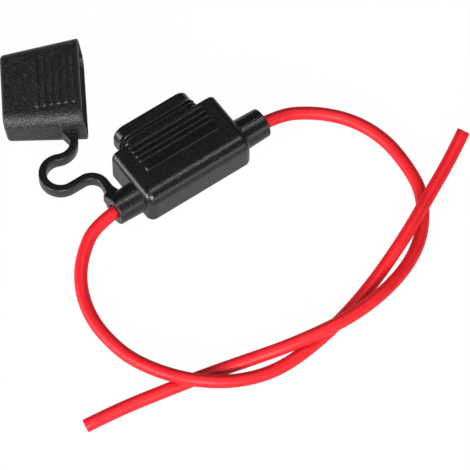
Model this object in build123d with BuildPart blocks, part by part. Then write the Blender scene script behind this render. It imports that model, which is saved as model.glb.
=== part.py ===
from build123d import *
from math import atan2, cos, degrees, pi, radians, sin, sqrt, tan
import os

# The holder lies on one large face, with X along the line of the two collars and +Y out of the fuse socket.
# The origin is on the underside, below the middle of the collar line.

# Housing block
blockLength = 34.5
blockFrontDepth = 6.5
blockBackDepth = 12.5
blockHeight = 12.0
blockCornerRadius = 2.4
blockEdgeRadius = 1.7
blockRollRadius = 3.8
blockBackEdgeRadius = 0.8

# Socket spigot with its sealing ridges, each a ramp from the mouth that ends in a step
spigotWidth = 24.6
spigotThickness = 9.8
spigotReach = 6.6
spigotCornerRadius = 3.6
spigotLipRadius = 0.7
ridgeHeight = 0.4
ridgeRamp = 1.0
ridgePlaces = [1.45, 2.65]

# Fuse slot, with one chamber for each terminal below it
slotEndWall = 2.3
slotSideWall = 1.9
slotDepth = 8.2
slotCornerRadius = 0.8
chamberClearance = 0.25

# Grip ribs on the housing's upper face, set back from its rear edge
gripLength = 24.6
gripHeight = 0.45
gripSetBacks = [1.9, 3.6, 5.4, 7.1, 10.5]
gripFirstRamp = 1.1
crestEdge = 0.14
ribEndSlope = 0.45
ribDip = 0.04
sink = 0.2

# Collars
collarRootRadius = 4.6
collarEndRadius = 4.3
collarEndX = 25.0
collarLipRadius = 0.35

# Leads: insulation and stranded conductor
wireRadius = 1.85
coreRadius = 1.05
gripBoreClearance = 0.1

# Terminals, folded from one strip
sheet = 0.4
bladePitch = 14.0
receptacleWidth = 6.6
receptacleLength = 7.4
receptacleSetBack = 0.3
lipGap = 1.2
beadWidth = 0.7
beadDrop = 0.6
stripWidth = 2.4
stripDrop = 0.05
linkWidth = 5.0
linkGap = 0.5
crimpLength = 3.4
crimpSlit = 0.3
crimpFit = 0.02
coreOverhang = 0.2
joggle = 1.0
insulationCrimpLength = 1.6

# Strap, which lies at the height of the lead line
strapWidth = 2.2
strapHeight = 3.6
strapRootInset = 2.8
strapRootFoot = 0.7
strapRootFlare = 0.5
strapRootTurnRadius = 4.3
strapStraight = 3.9
flexY = 12.75
flexGap = 0.3
loopRadius = 5.05
loopTurn = 205.0
returnRadius = 5.3
returnTurn = 82.0
strapTailLength = 2.5
strapTabFlare = 2.15

# Cap, which lies on the rim of its closed end with its mouth raised
capFit = 0.6
capFitAcross = 0.82
capWall = 1.25
capLength = 22.35
capWidthTaper = 4.4
capThicknessTaper = 1.9
capMouthCornerRadius = 4.0
capEndCornerRadius = 3.6
capRimRadius = 0.55
capEndEdgeRadius = 1.2
capStrapPlace = 3.3
capStrapAngle = 88.0
capPitch = 6.5
capGripWidth = 17.0
capGripHeight = 0.4
capGripRamp = 1.7
capGripPitch = 2.05
capGripCount = 6
capGripFirst = 1.65

leadHeight = blockHeight / 2

# Routes of the two leads, from inside the collar to the cut end
leftRoute = [
    (-30.4, 0.0, leadHeight),
    (-39.9, -6.0, 3.7),
    (-45.5, -13.9, 2.0),
    (-48.1, -23.9, wireRadius),
    (-47.4, -33.8, wireRadius),
    (-45.8, -41.2, 3.2),
    (-42.3, -50.0, 5.85),
    (-36.4, -57.0, 5.85),
    (-26.6, -62.5, 3.7),
    (-15.2, -64.8, wireRadius),
    (-2.0, -63.8, wireRadius),
    (11.1, -60.8, wireRadius),
    (21.6, -57.4, 2.2),
    (30.9, -54.2, 4.4),
    (39.1, -50.8, 5.85),
    (50.4, -44.9, 5.85),
    (59.2, -40.7, 6.9),
    (67.5, -36.5, 8.6),
]
rightRoute = [
    (29.2, 0.0, leadHeight),
    (39.8, -4.7, 3.9),
    (47.7, -12.0, 2.0),
    (51.3, -22.3, wireRadius),
    (51.0, -33.4, wireRadius),
    (49.1, -42.4, wireRadius),
    (42.6, -51.5, wireRadius),
    (34.8, -57.5, 2.3),
    (23.6, -62.3, 4.4),
    (8.8, -64.7, 5.85),
    (-9.0, -62.4, 5.85),
    (-20.1, -58.4, 3.3),
    (-32.5, -54.6, wireRadius),
    (-45.2, -52.1, wireRadius),
    (-57.2, -49.9, wireRadius),
    (-67.2, -48.9, wireRadius),
]

# What follows from the sizes above
blockHalf = blockLength / 2
blockDepth = blockFrontDepth + blockBackDepth
blockCentreY = (blockBackDepth - blockFrontDepth) / 2
spigotMouthY = blockBackDepth + spigotReach
slotWidth = spigotWidth - 2 * slotEndWall
slotThickness = spigotThickness - 2 * slotSideWall
slotFloorY = spigotMouthY - slotDepth
receptacleHeight = 2 * (coreRadius + crimpFit + stripDrop + sheet)
receptacleTopY = slotFloorY - receptacleSetBack
receptacleBaseY = receptacleTopY - receptacleLength
linkEndX = bladePitch / 2 + receptacleWidth / 2
crimpStartX = linkEndX + linkGap
crimpEndX = crimpStartX + crimpLength
coreStartX = crimpStartX - coreOverhang
insulationStartX = crimpEndX + joggle
gripStartX = insulationStartX + crimpFit
gripEndX = gripStartX + insulationCrimpLength
gripBottom = wireRadius + crimpFit + stripDrop + sheet
crimpBoreRadius = sqrt((stripWidth / 2) ** 2 + gripBottom**2) + chamberClearance
strapRootX = -(collarEndX - strapRootInset)
flexX = strapRootX - strapRootTurnRadius - strapStraight
capMouthWidth = spigotWidth + 2 * (capFitAcross + capWall)
capMouthThickness = spigotThickness + 2 * (capFit + capWall)
capEndWidth = capMouthWidth - capWidthTaper
capEndThickness = capMouthThickness - capThicknessTaper

os.makedirs("parts", exist_ok=True)


def save(built, name):
    built.part.label = name
    export_step(built.part, "parts/" + name + ".step")
    print(name, "volume", round(built.part.volume, 1))


def acrossPlane(y):
    # a plane whose own X runs along the leads, and which faces +Y
    return Plane(origin=(0, y, leadHeight), x_dir=(-1, 0, 0), z_dir=(0, 1, 0))


# Grip rib: a ramp that ends in a step with a bevelled crest, and which runs down at both ends
def ribSection(plane, ramp, height):
    with BuildSketch(plane) as section:
        Polygon(
            (0, -sink),
            (ramp, -sink),
            (ramp, -ribDip),
            (crestEdge, height),
            (0, height - crestEdge),
            align=None,
        )
    return section.sketch


def addRib(plane, ramp, height, length):
    first = ribSection(plane, ramp, -ribDip)
    second = ribSection(plane.offset(ribEndSlope), ramp, height)
    third = ribSection(plane.offset(length - ribEndSlope), ramp, height)
    last = ribSection(plane.offset(length), ramp, -ribDip)
    loft(sections=[first, second, third, last], ruled=True)


# Collar with its lead bore
def collarProfile(side):
    with BuildLine() as outline:
        Polyline(
            (side * (blockHalf - blockEdgeRadius), 0),
            (side * collarEndX, 0),
            (side * collarEndX, collarEndRadius),
            (side * (blockHalf - blockEdgeRadius), collarRootRadius),
            close=True,
        )
    return outline


# Housing: block, spigot, ridges, grip ribs and collars in one moulding
with BuildPart() as holderBody:
    with BuildSketch(Plane.XY):
        with Locations((0, blockCentreY)):
            Rectangle(blockLength, blockDepth)
    extrude(amount=blockHeight)
    # the upper front edge is rolled over more than the others
    fillet(holderBody.edges().filter_by(Axis.X).group_by(Axis.Z)[-1].sort_by(Axis.Y)[0], blockRollRadius)
    # both ends' outlines, apart from the rear edges and the lower ones
    endEdges = []
    for end in (0, -1):
        outline = holderBody.faces().sort_by(Axis.X)[end].edges()
        endEdges.extend(outline.sort_by(Axis.Y)[:-1].sort_by(Axis.Z)[1:])
    fillet(endEdges, blockCornerRadius)
    fillet(holderBody.edges().group_by(Axis.Z)[0].sort_by(Axis.Y)[:-1], blockEdgeRadius)
    fillet(holderBody.faces().sort_by(Axis.Y)[-1].edges(), blockBackEdgeRadius)
    with BuildSketch(acrossPlane(blockBackDepth - blockEdgeRadius)):
        RectangleRounded(spigotWidth, spigotThickness, spigotCornerRadius)
    extrude(amount=spigotReach + blockEdgeRadius)
    fillet(holderBody.edges().group_by(Axis.Y)[-1], spigotLipRadius)
    for place in ridgePlaces:
        for along, out in ((0, ridgeHeight - crestEdge), (crestEdge, ridgeHeight), (ridgeRamp, 0)):
            with BuildSketch(acrossPlane(blockBackDepth + place + along)):
                RectangleRounded(spigotWidth + 2 * out, spigotThickness + 2 * out, spigotCornerRadius + out)
        loft(ruled=True)
    ramp = gripFirstRamp
    crestBefore = 0
    for setBack in gripSetBacks:
        if crestBefore:
            ramp = setBack - crestBefore
        crestBefore = setBack
        crest = blockBackDepth - setBack
        gripPlane = Plane(origin=(-gripLength / 2, crest, blockHeight), x_dir=(0, 1, 0), z_dir=(1, 0, 0))
        addRib(gripPlane, ramp, gripHeight, gripLength)
    for side in (-1, 1):
        with BuildSketch(Plane(origin=(0, 0, leadHeight), x_dir=(1, 0, 0), z_dir=(0, -1, 0))):
            add(make_face(collarProfile(side).edges()))
        revolve(axis=Axis((0, 0, leadHeight), (1, 0, 0)))
        collarFace = holderBody.faces().sort_by(Axis.X)[-1 if side > 0 else 0]
        fillet(collarFace.edges(), collarLipRadius)
    # the slot that takes the fuse
    with BuildSketch(acrossPlane(slotFloorY)):
        RectangleRounded(slotWidth, slotThickness, slotCornerRadius)
    extrude(amount=slotDepth, mode=Mode.SUBTRACT)
    # a chamber for each receptacle and a bore for each lead
    chamberWidth = receptacleWidth + 2 * chamberClearance
    chamberThickness = receptacleHeight + 2 * chamberClearance
    chamberEndY = -stripWidth / 2 - chamberClearance
    for side in (-1, 1):
        with BuildSketch(acrossPlane(chamberEndY)):
            with Locations((-side * bladePitch / 2, 0)):
                Rectangle(chamberWidth, chamberThickness)
        extrude(amount=slotFloorY - chamberEndY, mode=Mode.SUBTRACT)
        with BuildSketch(Plane(origin=(side * bladePitch / 2, 0, leadHeight), z_dir=(side, 0, 0))):
            Circle(crimpBoreRadius)
        extrude(amount=gripEndX + chamberClearance - bladePitch / 2, mode=Mode.SUBTRACT)
        with BuildSketch(Plane(origin=(side * bladePitch / 2, 0, leadHeight), z_dir=(side, 0, 0))):
            Circle(wireRadius + gripBoreClearance)
        extrude(amount=collarEndX - bladePitch / 2, mode=Mode.SUBTRACT)


# One terminal: receptacle, link, conductor crimp and insulation grip in one folded strip
def terminalFor(side):
    plateTop = leadHeight - coreRadius - crimpFit - stripDrop
    gripTop = leadHeight - wireRadius - crimpFit - stripDrop
    receptacleX = -side * bladePitch / 2
    with BuildPart() as terminal:
        with BuildSketch(acrossPlane(receptacleBaseY)):
            with Locations((receptacleX, 0)):
                Rectangle(receptacleWidth, receptacleHeight)
                Rectangle(receptacleWidth - 2 * sheet, receptacleHeight - 2 * sheet, mode=Mode.SUBTRACT)
            with Locations((receptacleX, receptacleHeight / 2 - sheet / 2)):
                Rectangle(lipGap, sheet, mode=Mode.SUBTRACT)
            # the curled lips that press on the blade
            for lip in (-1, 1):
                beadX = receptacleX + lip * (lipGap + beadWidth) / 2
                with Locations((beadX, receptacleHeight / 2 - sheet - beadDrop / 2)):
                    Rectangle(beadWidth, beadDrop)
        extrude(amount=receptacleLength)
        with BuildSketch(Plane.XY.offset(plateTop - sheet)):
            with Locations((side * (linkEndX - linkWidth / 2), (receptacleBaseY - stripWidth / 2) / 2)):
                Rectangle(linkWidth, receptacleBaseY + stripWidth / 2)
        extrude(amount=sheet)
        # the strip below the two crimps, seen from the front
        with BuildSketch(Plane(origin=(0, -stripWidth / 2, 0), x_dir=(1, 0, 0), z_dir=(0, -1, 0))):
            Polygon(
                (side * bladePitch / 2, plateTop - sheet),
                (side * crimpEndX, plateTop - sheet),
                (side * (crimpEndX + joggle / 2), gripTop - sheet),
                (side * gripEndX, gripTop - sheet),
                (side * gripEndX, gripTop),
                (side * insulationStartX, gripTop),
                (side * (crimpEndX + joggle / 2), plateTop),
                (side * bladePitch / 2, plateTop),
                align=None,
            )
        extrude(amount=-stripWidth)
        for startX, endX, inner in (
            (crimpStartX, crimpEndX, coreRadius + crimpFit),
            (gripStartX, gripEndX, wireRadius + crimpFit),
        ):
            crimpPlane = Plane(origin=(side * startX, 0, leadHeight), x_dir=(0, 1, 0), z_dir=(side, 0, 0))
            with BuildSketch(crimpPlane):
                Circle(inner + stripDrop + sheet / 2)
                Circle(inner, mode=Mode.SUBTRACT)
                with Locations((0, side * (inner + sheet / 2))):
                    Rectangle(crimpSlit, 2 * sheet, mode=Mode.SUBTRACT)
            extrude(amount=endX - startX)
    return terminal


# A lead's centre line: straight runs joined by arcs
def leadPath(route, startX):
    points = [Vector(startX, 0, leadHeight)] + [Vector(*point) for point in route]
    radii = []
    for before, corner, after in zip(points, points[1:], points[2:]):
        turn = (corner - before).get_angle(after - corner)
        shorter = min((corner - before).length, (after - corner).length)
        reach = 0.45 * shorter
        if corner == points[1]:
            reach = min(abs(corner.X) - collarEndX, reach)
        radii.append(reach / tan(radians(turn / 2)))
    print("radii", [round(radius, 1) for radius in radii])
    with BuildLine() as centreLine:
        FilletPolyline(*points, radius=radii)
    return centreLine.wire()


def sweptTube(route, startX, outer, inner):
    centreLine = leadPath(route, startX)
    with BuildPart() as tube:
        with BuildSketch(Plane(origin=centreLine @ 0, z_dir=centreLine % 0)):
            Circle(outer)
            if inner > 0:
                Circle(inner, mode=Mode.SUBTRACT)
        sweep(path=centreLine)
    section = pi * (outer**2 - inner**2)
    print("length", round(centreLine.length, 1), "section by length", round(section * centreLine.length, 1))
    return tube


# Strap, housing side: out of the collar and round to the bend
endGap = strapWidth / 2 + flexGap / 2
with BuildPart() as strapHousingSide:
    with BuildSketch(Plane.XY.offset(leadHeight - strapHeight / 2)):
        with BuildLine() as nearLine:
            first = Line((strapRootX, 0), (strapRootX, flexY - strapRootTurnRadius))
            turn = JernArc(start=first @ 1, tangent=(0, 1), radius=strapRootTurnRadius, arc_size=90)
            Line(turn @ 1, (flexX + endGap, flexY))
        trace(nearLine.line, strapWidth)
        with Locations((flexX + endGap, flexY)):
            Circle(strapWidth / 2)
        # the foot that runs out to the collar's end face, and the flare on the other side
        rootLeft = strapRootX - strapWidth / 2
        rootRight = strapRootX + strapWidth / 2
        Polygon(
            (rootLeft, flexY - strapRootTurnRadius),
            (rootLeft - strapRootFlare, collarEndRadius + strapRootFoot),
            (-collarEndX, collarEndRadius + strapRootFoot),
            (-collarEndX, 0),
            (rootLeft, 0),
            align=None,
        )
        Polygon(
            (rootRight, collarRootRadius + 2 * strapRootFoot),
            (rootRight + strapRootFlare, collarRootRadius - sink),
            (rootRight + strapRootFlare, 0),
            (rootRight, 0),
            align=None,
        )
    extrude(amount=strapHeight)
    # the collar's own cone trims the root
    with BuildSketch(Plane(origin=(0, 0, leadHeight), x_dir=(1, 0, 0), z_dir=(0, -1, 0))):
        add(make_face(collarProfile(-1).edges()))
    revolve(axis=Axis((0, 0, leadHeight), (1, 0, 0)), mode=Mode.SUBTRACT)

# Strap, cap side: from the bend round the loop to the cap's narrow side
slip = endGap / loopRadius
slipDegrees = degrees(slip)
with BuildLine() as farLine:
    loop = JernArc(
        start=(flexX - loopRadius * sin(slip), flexY + loopRadius * (1 - cos(slip))),
        tangent=(-cos(slip), sin(slip)),
        radius=loopRadius,
        arc_size=slipDegrees - loopTurn,
    )
    back = JernArc(start=loop @ 1, tangent=loop % 1, radius=returnRadius, arc_size=returnTurn)
    tailWay = back % 1
    tailSide = Vector(-tailWay.Y, tailWay.X)
    capTouch = (back @ 1) + tailWay * strapTailLength
    Line(back @ 1, capTouch + tailWay * capWall)

# Cap, on its own tilted plane: the strap's end settles its place
heading = atan2(tailWay.Y, tailWay.X) - radians(capStrapAngle)
pitch = radians(capPitch)
capAxis = Vector(cos(pitch) * cos(heading), cos(pitch) * sin(heading), sin(pitch))
capAcross = Vector(-sin(heading), cos(heading), 0)
touchAlong = capLength - capStrapPlace
touchHalfWidth = (capEndWidth + capWidthTaper * touchAlong / capLength) / 2
capMiddle = capTouch + capAcross * touchHalfWidth
capEndPlan = capMiddle - capAxis * touchAlong
capEndCentre = Vector(capEndPlan.X, capEndPlan.Y, capEndThickness / 2 * cos(pitch))
capPlane = Plane(origin=capEndCentre, x_dir=capAcross, z_dir=capAxis)
capUp = capPlane.y_dir if capPlane.y_dir.Z > 0 else capPlane.y_dir * -1


# Cap section at a distance from the closed end
def capSection(along, inset):
    share = along / capLength
    width = capEndWidth + capWidthTaper * share - 2 * inset
    thickness = capEndThickness + capThicknessTaper * share - 2 * inset
    corner = capEndCornerRadius + (capMouthCornerRadius - capEndCornerRadius) * share - inset
    with BuildSketch(capPlane.offset(along)) as section:
        RectangleRounded(width, thickness, corner)
    return section.sketch


# The cap's outer form, which also trims the strap
with BuildPart() as capBlank:
    # the rim is rounded in two flats
    rimShare = 1 - sqrt(0.5)
    capSections = [capSection(0, 0), capSection(capLength - capRimRadius, 0)]
    capSections.append(capSection(capLength - capRimRadius * rimShare, capRimRadius * rimShare))
    capSections.append(capSection(capLength, capRimRadius))
    loft(sections=capSections, ruled=True)

# Cap: the blank with its grip ribs and its hollow
with BuildPart() as cap:
    add(capBlank.part)
    fillet(cap.faces().sort_by(Axis(capEndCentre, capAxis))[0].edges(), capEndEdgeRadius)
    # grip ribs across the upper face
    rise = capThicknessTaper / 2 / capLength
    for rib in range(capGripCount):
        along = capLength - capGripFirst - rib * capGripPitch
        surface = capEndThickness / 2 + rise * along
        crestAt = capEndCentre + capAxis * along + capUp * surface - capAcross * (capGripWidth / 2)
        ribPlane = Plane(origin=crestAt, x_dir=capAxis * -1 - capUp * rise, z_dir=capAcross)
        addRib(ribPlane, capGripRamp, capGripHeight, capGripWidth)
    # the hollow
    loft(sections=[capSection(capWall, capWall), capSection(capLength, capWall)], mode=Mode.SUBTRACT)

with BuildPart() as strapCapSide:
    with BuildSketch(Plane.XY.offset(leadHeight - strapHeight / 2)):
        trace(farLine.line, strapWidth)
        with Locations(loop @ 0):
            Circle(strapWidth / 2)
        # the tab widens towards the cap's closed end
        tailLeft = (back @ 1) + tailSide * (strapWidth / 2)
        tabFoot = tailLeft + tailWay * (strapTailLength + capWall)
        tabOut = tabFoot + tailSide * (strapTabFlare * (strapTailLength + capWall) / strapTailLength)
        Polygon(tailLeft, tabOut, tabFoot, align=None)
    extrude(amount=strapHeight)
    add(capBlank.part, mode=Mode.SUBTRACT)

terminalLeft = terminalFor(-1)
terminalRight = terminalFor(1)
wireLeft = sweptTube(leftRoute, -insulationStartX, wireRadius, coreRadius)
wireRight = sweptTube(rightRoute, insulationStartX, wireRadius, coreRadius)
coreLeft = sweptTube(leftRoute, -coreStartX, coreRadius, 0)
coreRight = sweptTube(rightRoute, coreStartX, coreRadius, 0)

save(holderBody, "holder_body")
save(strapHousingSide, "strap_housing_side")
save(strapCapSide, "strap_cap_side")
save(cap, "cap")
save(terminalLeft, "terminal_left")
save(terminalRight, "terminal_right")
save(wireLeft, "wire_left")
save(wireRight, "wire_right")
save(coreLeft, "core_left")
save(coreRight, "core_right")
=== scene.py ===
import math

import bpy
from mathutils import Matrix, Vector


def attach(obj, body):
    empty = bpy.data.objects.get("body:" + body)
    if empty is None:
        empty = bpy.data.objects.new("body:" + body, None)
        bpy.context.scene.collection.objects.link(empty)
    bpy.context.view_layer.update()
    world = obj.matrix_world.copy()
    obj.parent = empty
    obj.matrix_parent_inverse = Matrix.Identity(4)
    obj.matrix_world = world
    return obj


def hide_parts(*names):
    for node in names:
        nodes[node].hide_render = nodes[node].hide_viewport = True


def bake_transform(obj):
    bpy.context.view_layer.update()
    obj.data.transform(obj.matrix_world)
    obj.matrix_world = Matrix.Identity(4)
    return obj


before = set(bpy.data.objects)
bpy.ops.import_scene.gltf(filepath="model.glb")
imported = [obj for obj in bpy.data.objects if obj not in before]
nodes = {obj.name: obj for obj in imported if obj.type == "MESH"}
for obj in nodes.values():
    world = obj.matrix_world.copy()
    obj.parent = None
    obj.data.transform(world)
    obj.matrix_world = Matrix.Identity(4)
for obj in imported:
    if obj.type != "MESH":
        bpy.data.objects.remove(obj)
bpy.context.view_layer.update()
scene = bpy.context.scene
scene.view_settings.view_transform = "Standard"
mm = 0.001

# Camera, placed so that a millimetre on the table covers 3.64 of the 470 pixels
cameraWay = {"azimuth": math.radians(-35.3), "elevation": math.radians(59.0)}
cameraAim = Vector((-0.23, -22.55, 0)) * mm
cameraBack = Vector(
    (
        math.sin(cameraWay["azimuth"]) * math.cos(cameraWay["elevation"]),
        -math.cos(cameraWay["azimuth"]) * math.cos(cameraWay["elevation"]),
        math.sin(cameraWay["elevation"]),
    )
)
cameraData = bpy.data.cameras.new("camera")
cameraData.sensor_width = 36
cameraData.lens = 3640 / 470 * 36
cameraData.clip_start = 0.05
cameraData.clip_end = 20
camera = bpy.data.objects.new("camera", cameraData)
scene.collection.objects.link(camera)
camera.rotation_mode = "QUATERNION"
camera.location = cameraAim + cameraBack
camera.rotation_quaternion = (-cameraBack).to_track_quat("-Z", "Y")
scene.camera = camera
print("camera placed")

# The leads' routes in metres, from the crimp outwards
routes = {
    "left": [
        (-0.0152, 0, 0.006), (-0.0304, 0, 0.006), (-0.0399, -0.006, 0.0037), (-0.0455, -0.0139, 0.002),
        (-0.0481, -0.0239, 0.00185), (-0.0474, -0.0338, 0.00185), (-0.0458, -0.0412, 0.0032),
        (-0.0423, -0.05, 0.00585), (-0.0364, -0.057, 0.00585), (-0.0266, -0.0625, 0.0037),
        (-0.0152, -0.0648, 0.00185), (-0.002, -0.0638, 0.00185), (0.0111, -0.0608, 0.00185),
        (0.0216, -0.0574, 0.0022), (0.0309, -0.0542, 0.0044), (0.0391, -0.0508, 0.00585),
        (0.0504, -0.0449, 0.00585), (0.0592, -0.0407, 0.0069), (0.066, -0.037, 0.00834),
    ],
    "right": [
        (0.0152, 0, 0.006), (0.0292, 0, 0.006), (0.0398, -0.0047, 0.0039), (0.0477, -0.012, 0.002),
        (0.0513, -0.0223, 0.00185), (0.051, -0.0334, 0.00185), (0.0491, -0.0424, 0.00185),
        (0.0426, -0.0515, 0.00185), (0.0348, -0.0575, 0.0023), (0.0236, -0.0623, 0.0044),
        (0.0088, -0.0647, 0.00585), (-0.009, -0.0624, 0.00585), (-0.0201, -0.0584, 0.0033),
        (-0.0325, -0.0546, 0.00185), (-0.0452, -0.0521, 0.00185), (-0.0572, -0.0499, 0.00185),
        (-0.0652, -0.0491, 0.00185),
    ],
}
leadSizes = {
    "diameter": 0.0037, "core": 0.0021, "height": 0.006, "exit": 0.025, "coreStart": 0.0106,
    "left": 0.1943, "right": 0.1935, "coreExtra": 0.0046,
}


# the tube's radius is on its points, so that the curve's box is the tube's own
def nurbsTube(name, points, radius):
    data = bpy.data.curves.new(name, "CURVE")
    data.dimensions = "3D"
    line = data.splines.new("NURBS")
    line.points.add(len(points) - 1)
    for place, point in zip(line.points, points):
        place.co = (*point, 1)
        place.radius = radius
    line.order_u = 3
    line.use_endpoint_u = True
    data.resolution_u = 24
    data.bevel_depth = 1.0
    data.bevel_resolution = 8
    data.use_fill_caps = True
    tube = bpy.data.objects.new(name, data)
    scene.collection.objects.link(tube)
    return tube


def meshPiece(name, vertices, faces, smooth=True):
    data = bpy.data.meshes.new(name)
    data.from_pydata([tuple(v) for v in vertices], [], faces)
    data.update()
    if smooth:
        data.shade_smooth()
    piece = bpy.data.objects.new(name, data)
    scene.collection.objects.link(piece)
    return piece


def bridge(faces, first, second, count):
    for k in range(count):
        step = (k + 1) % count
        faces.append((first + k, first + step, second + step, second + k))


# Cut ends: each lead was snipped a little obliquely, with the strands flush
cutEnds = {
    "left": {
        "tip": (0.06779, -0.036, 0.00871), "way": (0.0068, 0.0037, 0.00144), "cut": (0.76, 0.32, 0.565),
    },
    "right": {
        "tip": (-0.06754, -0.04886, 0.00185), "way": (-0.01, 0.001, 0.0), "cut": (-0.919, 0.207, -0.218),
    },
}
endLook = {
    "back": 0.0032, "lip": 0.00012, "proud": 0.000004, "ringSides": 56,
    "strand": 0.0002, "strandSides": 12, "uneven": 0.00006, "unevenStep": 2.4,
    "strandRings": ((6, 2.03), (12, 3.95)),
    "strandShape": ((1, -0.0032, 0), (1, -0.00003, 1), (0.8, 0.00001, 1)),
}


def cutFrame(look):
    way = Vector(look["way"]).normalized()
    side = way.cross(Vector((0, 0, 1))).normalized()
    return Vector(look["tip"]), way, side, side.cross(way), Vector(look["cut"]).normalized()


def insulationEnd(name, look, radius, bore):
    tip, way, side, up, cut = cutFrame(look)
    vertices, faces = [], []
    # each ring is its radius, its place along the lead, and whether it follows the oblique cut
    rings = [
        (radius + endLook["proud"], -endLook["back"], 0),
        (radius + endLook["proud"], -endLook["lip"], 1),
        (radius - endLook["lip"] * 0.3, -endLook["lip"] * 0.3, 1),
        (radius - endLook["lip"], 0, 1),
        (bore + endLook["lip"] * 0.5, 0, 1),
        (bore, -endLook["lip"], 1),
        (bore, -endLook["back"], 0),
    ]
    for ringRadius, along, oblique in rings:
        for k in range(endLook["ringSides"]):
            angle = 2 * math.pi * k / endLook["ringSides"]
            out = (side * math.cos(angle) + up * math.sin(angle)) * ringRadius
            shift = -out.dot(cut) / way.dot(cut) if oblique else 0
            vertices.append(tip + out + way * (along + shift))
    sides = endLook["ringSides"]
    for ring in range(len(rings) - 1):
        bridge(faces, ring * sides, (ring + 1) * sides, sides)
    return meshPiece(name, vertices, faces)


def strandEnds(name, look):
    tip, way, side, up, cut = cutFrame(look)
    vertices, faces = [], []
    sides = endLook["strandSides"]
    places = [(0, 0)]
    for count, reach in endLook["strandRings"]:
        for k in range(count):
            angle = 2 * math.pi * k / count
            places.append((reach * math.cos(angle), reach * math.sin(angle)))
    for number, (a, b) in enumerate(places):
        middle = (side * a + up * b) * endLook["strand"]
        uneven = endLook["uneven"] * math.sin(number * endLook["unevenStep"])
        base = len(vertices)
        for share, along, oblique in endLook["strandShape"]:
            for k in range(sides):
                angle = 2 * math.pi * k / sides
                out = middle + (side * math.cos(angle) + up * math.sin(angle)) * endLook["strand"] * share
                shift = -out.dot(cut) / way.dot(cut) + uneven if oblique else 0
                vertices.append(tip + out + way * (along + shift))
        bridge(faces, base, base + sides, sides)
        bridge(faces, base + sides, base + 2 * sides, sides)
        faces.append(tuple(base + 2 * sides + k for k in range(sides)))
    return meshPiece(name, vertices, faces)


leads, cores, leadEnds, strands = {}, {}, {}, {}
for side, sign in (("left", -1), ("right", 1)):
    leadRadius, coreRadius = leadSizes["diameter"] / 2, leadSizes["core"] / 2
    coreStart = (sign * leadSizes["coreStart"], 0, leadSizes["height"])
    lead = nurbsTube("lead_" + side, routes[side], leadRadius)
    core = nurbsTube("conductor_" + side, [coreStart] + routes[side][1:], coreRadius)
    leadEnd = insulationEnd("lead_end_" + side, cutEnds[side], leadRadius, coreRadius)
    strand = strandEnds("strands_" + side, cutEnds[side])
    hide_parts("wire_" + side)
    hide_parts("core_" + side)
    for piece in (lead, leadEnd):
        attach(piece, "holder")
    for piece in (core, strand):
        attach(piece, "holder")
    leads[side], cores[side], leadEnds[side], strands[side] = lead, core, leadEnd, strand
print("leads laid")


# Strap: one moulding from the collar round its bend to the cap
strapLook = {
    "start": (-22.2, 2.4), "half": 1.1, "low": 4.2, "high": 7.8,
    "round": 0.32, "step": 0.25, "cornerPoints": 5,
    "rootRun": 6.05, "rootTurn": (4.3, 90), "run": 3.9, "loop": (5.05, -205), "back": (5.3, 82), "tail": 3.4,
    "rootRings": 40, "footTop": 8.45, "footLow": 5.0, "footSpread": 0.5, "footWidest": 1.68,
    "heelTop": 6.0, "heelRun": 1.6, "heelSpread": 0.5, "tabFlare": 0.86,
}


def strapLine(look):
    # each point is x, y, heading and how far it is along the tail
    x, y = look["start"]
    heading = math.radians(90)
    line = [(x, y, heading, 0)]
    pieces = [("run", look["rootRun"]), ("turn", look["rootTurn"]), ("run", look["run"])]
    pieces += [("turn", look["loop"]), ("turn", look["back"]), ("tail", look["tail"])]
    for kind, size in pieces:
        if kind == "turn":
            radius, angle = size
            length = radius * math.radians(abs(angle))
            bend = math.radians(angle) / length
        else:
            length, bend = size, 0
        count = max(2, round(length / look["step"]))
        for k in range(count):
            middle = heading + bend * length / count / 2
            x += math.cos(middle) * length / count
            y += math.sin(middle) * length / count
            heading += bend * length / count
            line.append((x, y, heading, (k + 1) * length / count if kind == "tail" else 0))
    return line


def strapHalves(look, number, y, tail):
    # the strap spreads on both sides of its root, and on one side of its tail
    left = right = look["half"]
    atRoot = number < look["rootRings"]
    if atRoot and look["footLow"] < y < look["footTop"]:
        left += look["footSpread"] * (look["footTop"] - y) / (look["footTop"] - look["footLow"])
    elif atRoot and y <= look["footLow"]:
        left += look["footWidest"]
    if atRoot and y < look["heelTop"]:
        right += look["heelSpread"] * min(1, (look["heelTop"] - y) / look["heelRun"])
    return left + look["tabFlare"] * tail, right


def strapMesh(look):
    vertices, faces = [], []
    line = strapLine(look)
    corner, count = look["round"], look["cornerPoints"]
    sides = 4 * count
    middle, half = (look["low"] + look["high"]) / 2, (look["high"] - look["low"]) / 2
    for number, (x, y, heading, tail) in enumerate(line):
        left, right = strapHalves(look, number, y, tail)
        across = Vector((-math.sin(heading), math.cos(heading), 0))
        for sideways, vertical, turn in ((left, 1, 0), (left, -1, 90), (-right, -1, 180), (-right, 1, 270)):
            inward = corner if sideways > 0 else -corner
            for k in range(count):
                angle = math.radians(90 - turn - 90 * k / (count - 1))
                flat = sideways - inward + corner * math.cos(angle)
                high = middle + vertical * (half - corner) + corner * math.sin(angle)
                vertices.append((Vector((x, y, 0)) + across * flat + Vector((0, 0, high))) * mm)
    for number in range(len(line) - 1):
        bridge(faces, number * sides, (number + 1) * sides, sides)
    faces.append(tuple(range(sides)))
    faces.append(tuple(len(vertices) - sides + k for k in reversed(range(sides))))
    return meshPiece("strap", vertices, faces)


strap = strapMesh(strapLook)
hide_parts("strap_housing_side", "strap_cap_side")
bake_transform(strap)
print("strap made")


# Materials
def nodeMaterial(name):
    material = bpy.data.materials.new(name)
    material.use_nodes = True
    tree = material.node_tree
    shader = tree.nodes["Principled BSDF"]
    place = tree.nodes.new("ShaderNodeTexCoord")
    return material, tree, shader, place.outputs["Object"]


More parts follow.
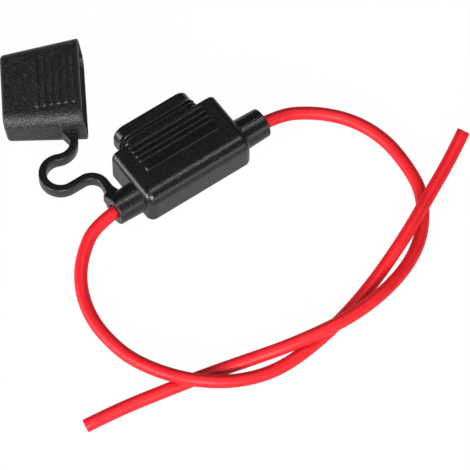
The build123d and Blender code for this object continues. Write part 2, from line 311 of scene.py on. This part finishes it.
def noise(tree, where, scale, detail=4.0, rough=0.5):
    node = tree.nodes.new("ShaderNodeTexNoise")
    node.inputs["Scale"].default_value = scale
    node.inputs["Detail"].default_value = detail
    node.inputs["Roughness"].default_value = rough
    tree.links.new(where, node.inputs["Vector"])
    return node.outputs["Fac"]


def ramp(tree, value, low, high, atLow, atHigh):
    node = tree.nodes.new("ShaderNodeMapRange")
    node.inputs["From Min"].default_value = low
    node.inputs["From Max"].default_value = high
    node.inputs["To Min"].default_value = atLow
    node.inputs["To Max"].default_value = atHigh
    tree.links.new(value, node.inputs["Value"])
    return node.outputs["Result"]


def blendColour(tree, value, first, second):
    node = tree.nodes.new("ShaderNodeMix")
    node.data_type = "RGBA"
    node.inputs["A"].default_value = (*first, 1)
    node.inputs["B"].default_value = (*second, 1)
    tree.links.new(value, node.inputs["Factor"])
    return node.outputs["Result"]


def bump(tree, height, distance, strength, under=None):
    node = tree.nodes.new("ShaderNodeBump")
    node.inputs["Distance"].default_value = distance
    node.inputs["Strength"].default_value = strength
    tree.links.new(height, node.inputs["Height"])
    if under:
        tree.links.new(under, node.inputs["Normal"])
    return node.outputs["Normal"]


# Edge mask for the paler edges, which are partly wear and partly a painted highlight
def scuffAndSheenMask(tree, radius):
    # how far the normal leans from the rounded one: 0 on flats and more on edges
    soft = tree.nodes.new("ShaderNodeBevel")
    soft.inputs["Radius"].default_value = radius
    plain = tree.nodes.new("ShaderNodeNewGeometry")
    dot = tree.nodes.new("ShaderNodeVectorMath")
    dot.operation = "DOT_PRODUCT"
    tree.links.new(soft.outputs["Normal"], dot.inputs[0])
    tree.links.new(plain.outputs["Normal"], dot.inputs[1])
    return ramp(tree, dot.outputs["Value"], 0.995, 0.9, 0.0, 1.0)


# Black moulding, in a smoother grain on the housing and strap and a coarser one on the cap
mouldedShared = {
    "cloud": 260,
    # paler edge colour: partly wear, partly a painted highlight along the rounded edges
    "scuffAndSheenColour": (0.03, 0.03, 0.032),
    "scuffAndSheenShare": 0.45,
    "scuffAndSheenRadius": 0.0004,
    # share of pale specks: partly the grain's own speckle, partly painted glints
    "speckAndGlintShare": 0.8,
    "unevenness": 0.0001,
}
mouldedLook = {
    "base": (0.002, 0.002, 0.0022),
    "pale": (0.0045, 0.0045, 0.0049),
    # pale specks: partly the grain's own speckle, partly painted glints of the grain
    "speckAndGlintColour": (0.014, 0.014, 0.015),
    "rough": (0.25, 0.33),
    "grain": 2600,
    "relief": 0.00006,
}
capLook = {
    "base": (0.0015, 0.0015, 0.0017),
    "pale": (0.0035, 0.0035, 0.0039),
    # pale specks: partly the grain's own speckle, partly painted glints of the grain
    "speckAndGlintColour": (0.05, 0.049, 0.056),
    "rough": (0.32, 0.4),
    "grain": 2500,
    "relief": 0.00026,
}


def overlay(tree, under, share, colour):
    node = tree.nodes.new("ShaderNodeMix")
    node.data_type = "RGBA"
    node.inputs["B"].default_value = (*colour, 1)
    tree.links.new(under, node.inputs["A"])
    tree.links.new(share, node.inputs["Factor"])
    return node.outputs["Result"]


def mouldedPlastic(name, look):
    material, tree, shader, where = nodeMaterial(name)
    shared = mouldedShared
    scuffAndSheenEdges = scuffAndSheenMask(tree, shared["scuffAndSheenRadius"])
    cloud = noise(tree, where, shared["cloud"], 3)
    grain = noise(tree, where, look["grain"], 1.5)
    colour = blendColour(tree, ramp(tree, cloud, 0.35, 0.7, 0.0, 0.7), look["base"], look["pale"])
    # Pale specks on the grain: partly its own speckle, partly painted glints of the grain's facets
    colour = overlay(tree, colour, ramp(tree, grain, 0.52, 0.72, 0.0, shared["speckAndGlintShare"]), look["speckAndGlintColour"])
    # Paler on every edge, hollow or rounded: partly wear, partly a painted edge highlight
    colour = overlay(tree, colour, ramp(tree, scuffAndSheenEdges, 0.0, 1.0, 0.0, shared["scuffAndSheenShare"]), shared["scuffAndSheenColour"])
    tree.links.new(colour, shader.inputs["Base Color"])
    tree.links.new(ramp(tree, grain, 0.3, 0.7, *look["rough"]), shader.inputs["Roughness"])
    fine = bump(tree, grain, look["relief"], 1.0)
    tree.links.new(bump(tree, cloud, shared["unevenness"], 0.25, fine), shader.inputs["Normal"])
    return material


# Smooth red insulation, tin plate and copper
smoothLooks = {
    "insulation": {
        "base": (0.58, 0.004, 0.0095), "pale": (0.64, 0.007, 0.0155), "rough": (0.42, 0.55),
        "metallic": 0.0, "shine": 0.35, "cloud": (180, 3), "smear": 900, "ripple": (420, 0.00005, 0.2),
    },
    "tinned": {
        "base": (0.62, 0.61, 0.58), "pale": (0.78, 0.77, 0.74), "rough": (0.2, 0.38),
        "metallic": 1.0, "shine": 0.5, "cloud": (700, 4), "smear": 2600, "ripple": (3000, 0.00003, 0.3),
    },
    "copper": {
        "base": (0.66, 0.3, 0.15), "pale": (0.8, 0.42, 0.25), "rough": (0.25, 0.4),
        "metallic": 1.0, "shine": 0.5, "cloud": (700, 4), "smear": 2600, "ripple": (3000, 0.00003, 0.3),
    },
}


def smoothMaterial(name, look):
    material, tree, shader, where = nodeMaterial(name)
    cloud = ramp(tree, noise(tree, where, *look["cloud"]), 0.35, 0.65, 0.0, 1.0)
    tree.links.new(blendColour(tree, cloud, look["base"], look["pale"]), shader.inputs["Base Color"])
    shader.inputs["Metallic"].default_value = look["metallic"]
    shader.inputs["Specular IOR Level"].default_value = look["shine"]
    smear = ramp(tree, noise(tree, where, look["smear"], 3), 0.3, 0.7, *look["rough"])
    tree.links.new(smear, shader.inputs["Roughness"])
    scale, depth, strength = look["ripple"]
    tree.links.new(bump(tree, noise(tree, where, scale, 3), depth, strength), shader.inputs["Normal"])
    return material


def dress(piece, material):
    piece.data.materials.clear()
    piece.data.materials.append(material)


moulding = mouldedPlastic("moulding", mouldedLook)
capMoulding = mouldedPlastic("cap_moulding", capLook)
insulation = smoothMaterial("insulation", smoothLooks["insulation"])
tinned = smoothMaterial("tinned", smoothLooks["tinned"])
copper = smoothMaterial("copper", smoothLooks["copper"])
for side in ("left", "right"):
    dress(leads[side], insulation)
    dress(leadEnds[side], insulation)
    dress(cores[side], copper)
    dress(strands[side], copper)
    dress(nodes["terminal_" + side], tinned)
dress(nodes["holder_body"], moulding)
dress(strap, moulding)
dress(nodes["cap"], capMoulding)
print("materials made")

# Floor, white to the camera apart from a little of the shadow, and paler in reflections than it is lit
floorLook = {
    "size": 6.0, "colour": (0.4, 0.4, 0.4), "rough": 0.9, "white": 1.04, "shown": 0.94, "mirrored": 0.47,
}
bpy.ops.mesh.primitive_plane_add(size=floorLook["size"])
floor = bpy.context.object
floor.name = "floor"
floorMaterial = bpy.data.materials.new("floor")
floorMaterial.use_nodes = True
tree = floorMaterial.node_tree
shader = tree.nodes["Principled BSDF"]
shader.inputs["Base Color"].default_value = (*floorLook["colour"], 1)
shader.inputs["Roughness"].default_value = floorLook["rough"]
white = tree.nodes.new("ShaderNodeEmission")
white.inputs["Strength"].default_value = floorLook["white"]
share = tree.nodes.new("ShaderNodeMixShader")
rays = tree.nodes.new("ShaderNodeLightPath")
part = tree.nodes.new("ShaderNodeMath")
part.operation = "MULTIPLY"
part.inputs[1].default_value = floorLook["mirrored"]
tree.links.new(rays.outputs["Is Glossy Ray"], part.inputs[0])
whole = tree.nodes.new("ShaderNodeMath")
whole.operation = "MULTIPLY_ADD"
whole.inputs[1].default_value = floorLook["shown"]
tree.links.new(rays.outputs["Is Camera Ray"], whole.inputs[0])
tree.links.new(part.outputs[0], whole.inputs[2])
tree.links.new(whole.outputs[0], share.inputs[0])
tree.links.new(shader.outputs[0], share.inputs[1])
tree.links.new(white.outputs[0], share.inputs[2])
tree.links.new(share.outputs[0], tree.nodes["Material Output"].inputs["Surface"])
floor.data.materials.append(floorMaterial)

# World, white to the camera and dim to everything else
worldLook = {"colour": (0.08, 0.08, 0.08)}
world = bpy.data.worlds.new("studio")
scene.world = world
world.use_nodes = True
tree = world.node_tree
tree.nodes.clear()
dim = tree.nodes.new("ShaderNodeBackground")
dim.inputs["Color"].default_value = (*worldLook["colour"], 1)
bright = tree.nodes.new("ShaderNodeBackground")
bright.inputs["Color"].default_value = (1, 1, 1, 1)
share = tree.nodes.new("ShaderNodeMixShader")
rays = tree.nodes.new("ShaderNodeLightPath")
out = tree.nodes.new("ShaderNodeOutputWorld")
tree.links.new(rays.outputs["Is Camera Ray"], share.inputs[0])
tree.links.new(dim.outputs[0], share.inputs[1])
tree.links.new(bright.outputs[0], share.inputs[2])
tree.links.new(share.outputs[0], out.inputs["Surface"])

# Lamps, all soft: a strip overhead, and others low in front and on the left
lampLooks = {
    "overhead": {"place": (0.25, -0.06, 0.95), "aim": (0.25, -0.06, 0), "size": (0.8, 0.17), "power": 3.0},
    "front": {"place": (0.3, -0.9, 0.17), "aim": (0, -0.02, 0.02), "size": (0.6, 0.32), "power": 1.7},
    "frontLeft": {"place": (-0.4, -0.72, 0.46), "aim": (0, -0.02, 0), "size": (0.46, 0.46), "power": 10.5},
    "left": {"place": (-0.78, 0.37, 0.18), "aim": (0, -0.02, 0.02), "size": (0.4, 0.36), "power": 3.6},
    "side": {"place": (-0.9, -0.1, 0.3), "aim": (0, -0.02, 0), "size": (0.2, 0.2), "power": 7.0},
}
for name, look in lampLooks.items():
    lamp = bpy.data.lights.new("lamp_" + name, "AREA")
    lamp.shape = "RECTANGLE"
    lamp.size, lamp.size_y = look["size"]
    lamp.energy = look["power"]
    stand = bpy.data.objects.new("lamp_" + name, lamp)
    scene.collection.objects.link(stand)
    stand.location = look["place"]
    stand.rotation_mode = "QUATERNION"
    stand.rotation_quaternion = (Vector(look["aim"]) - stand.location).to_track_quat("-Z", "Y")
print("floor and lamps set")
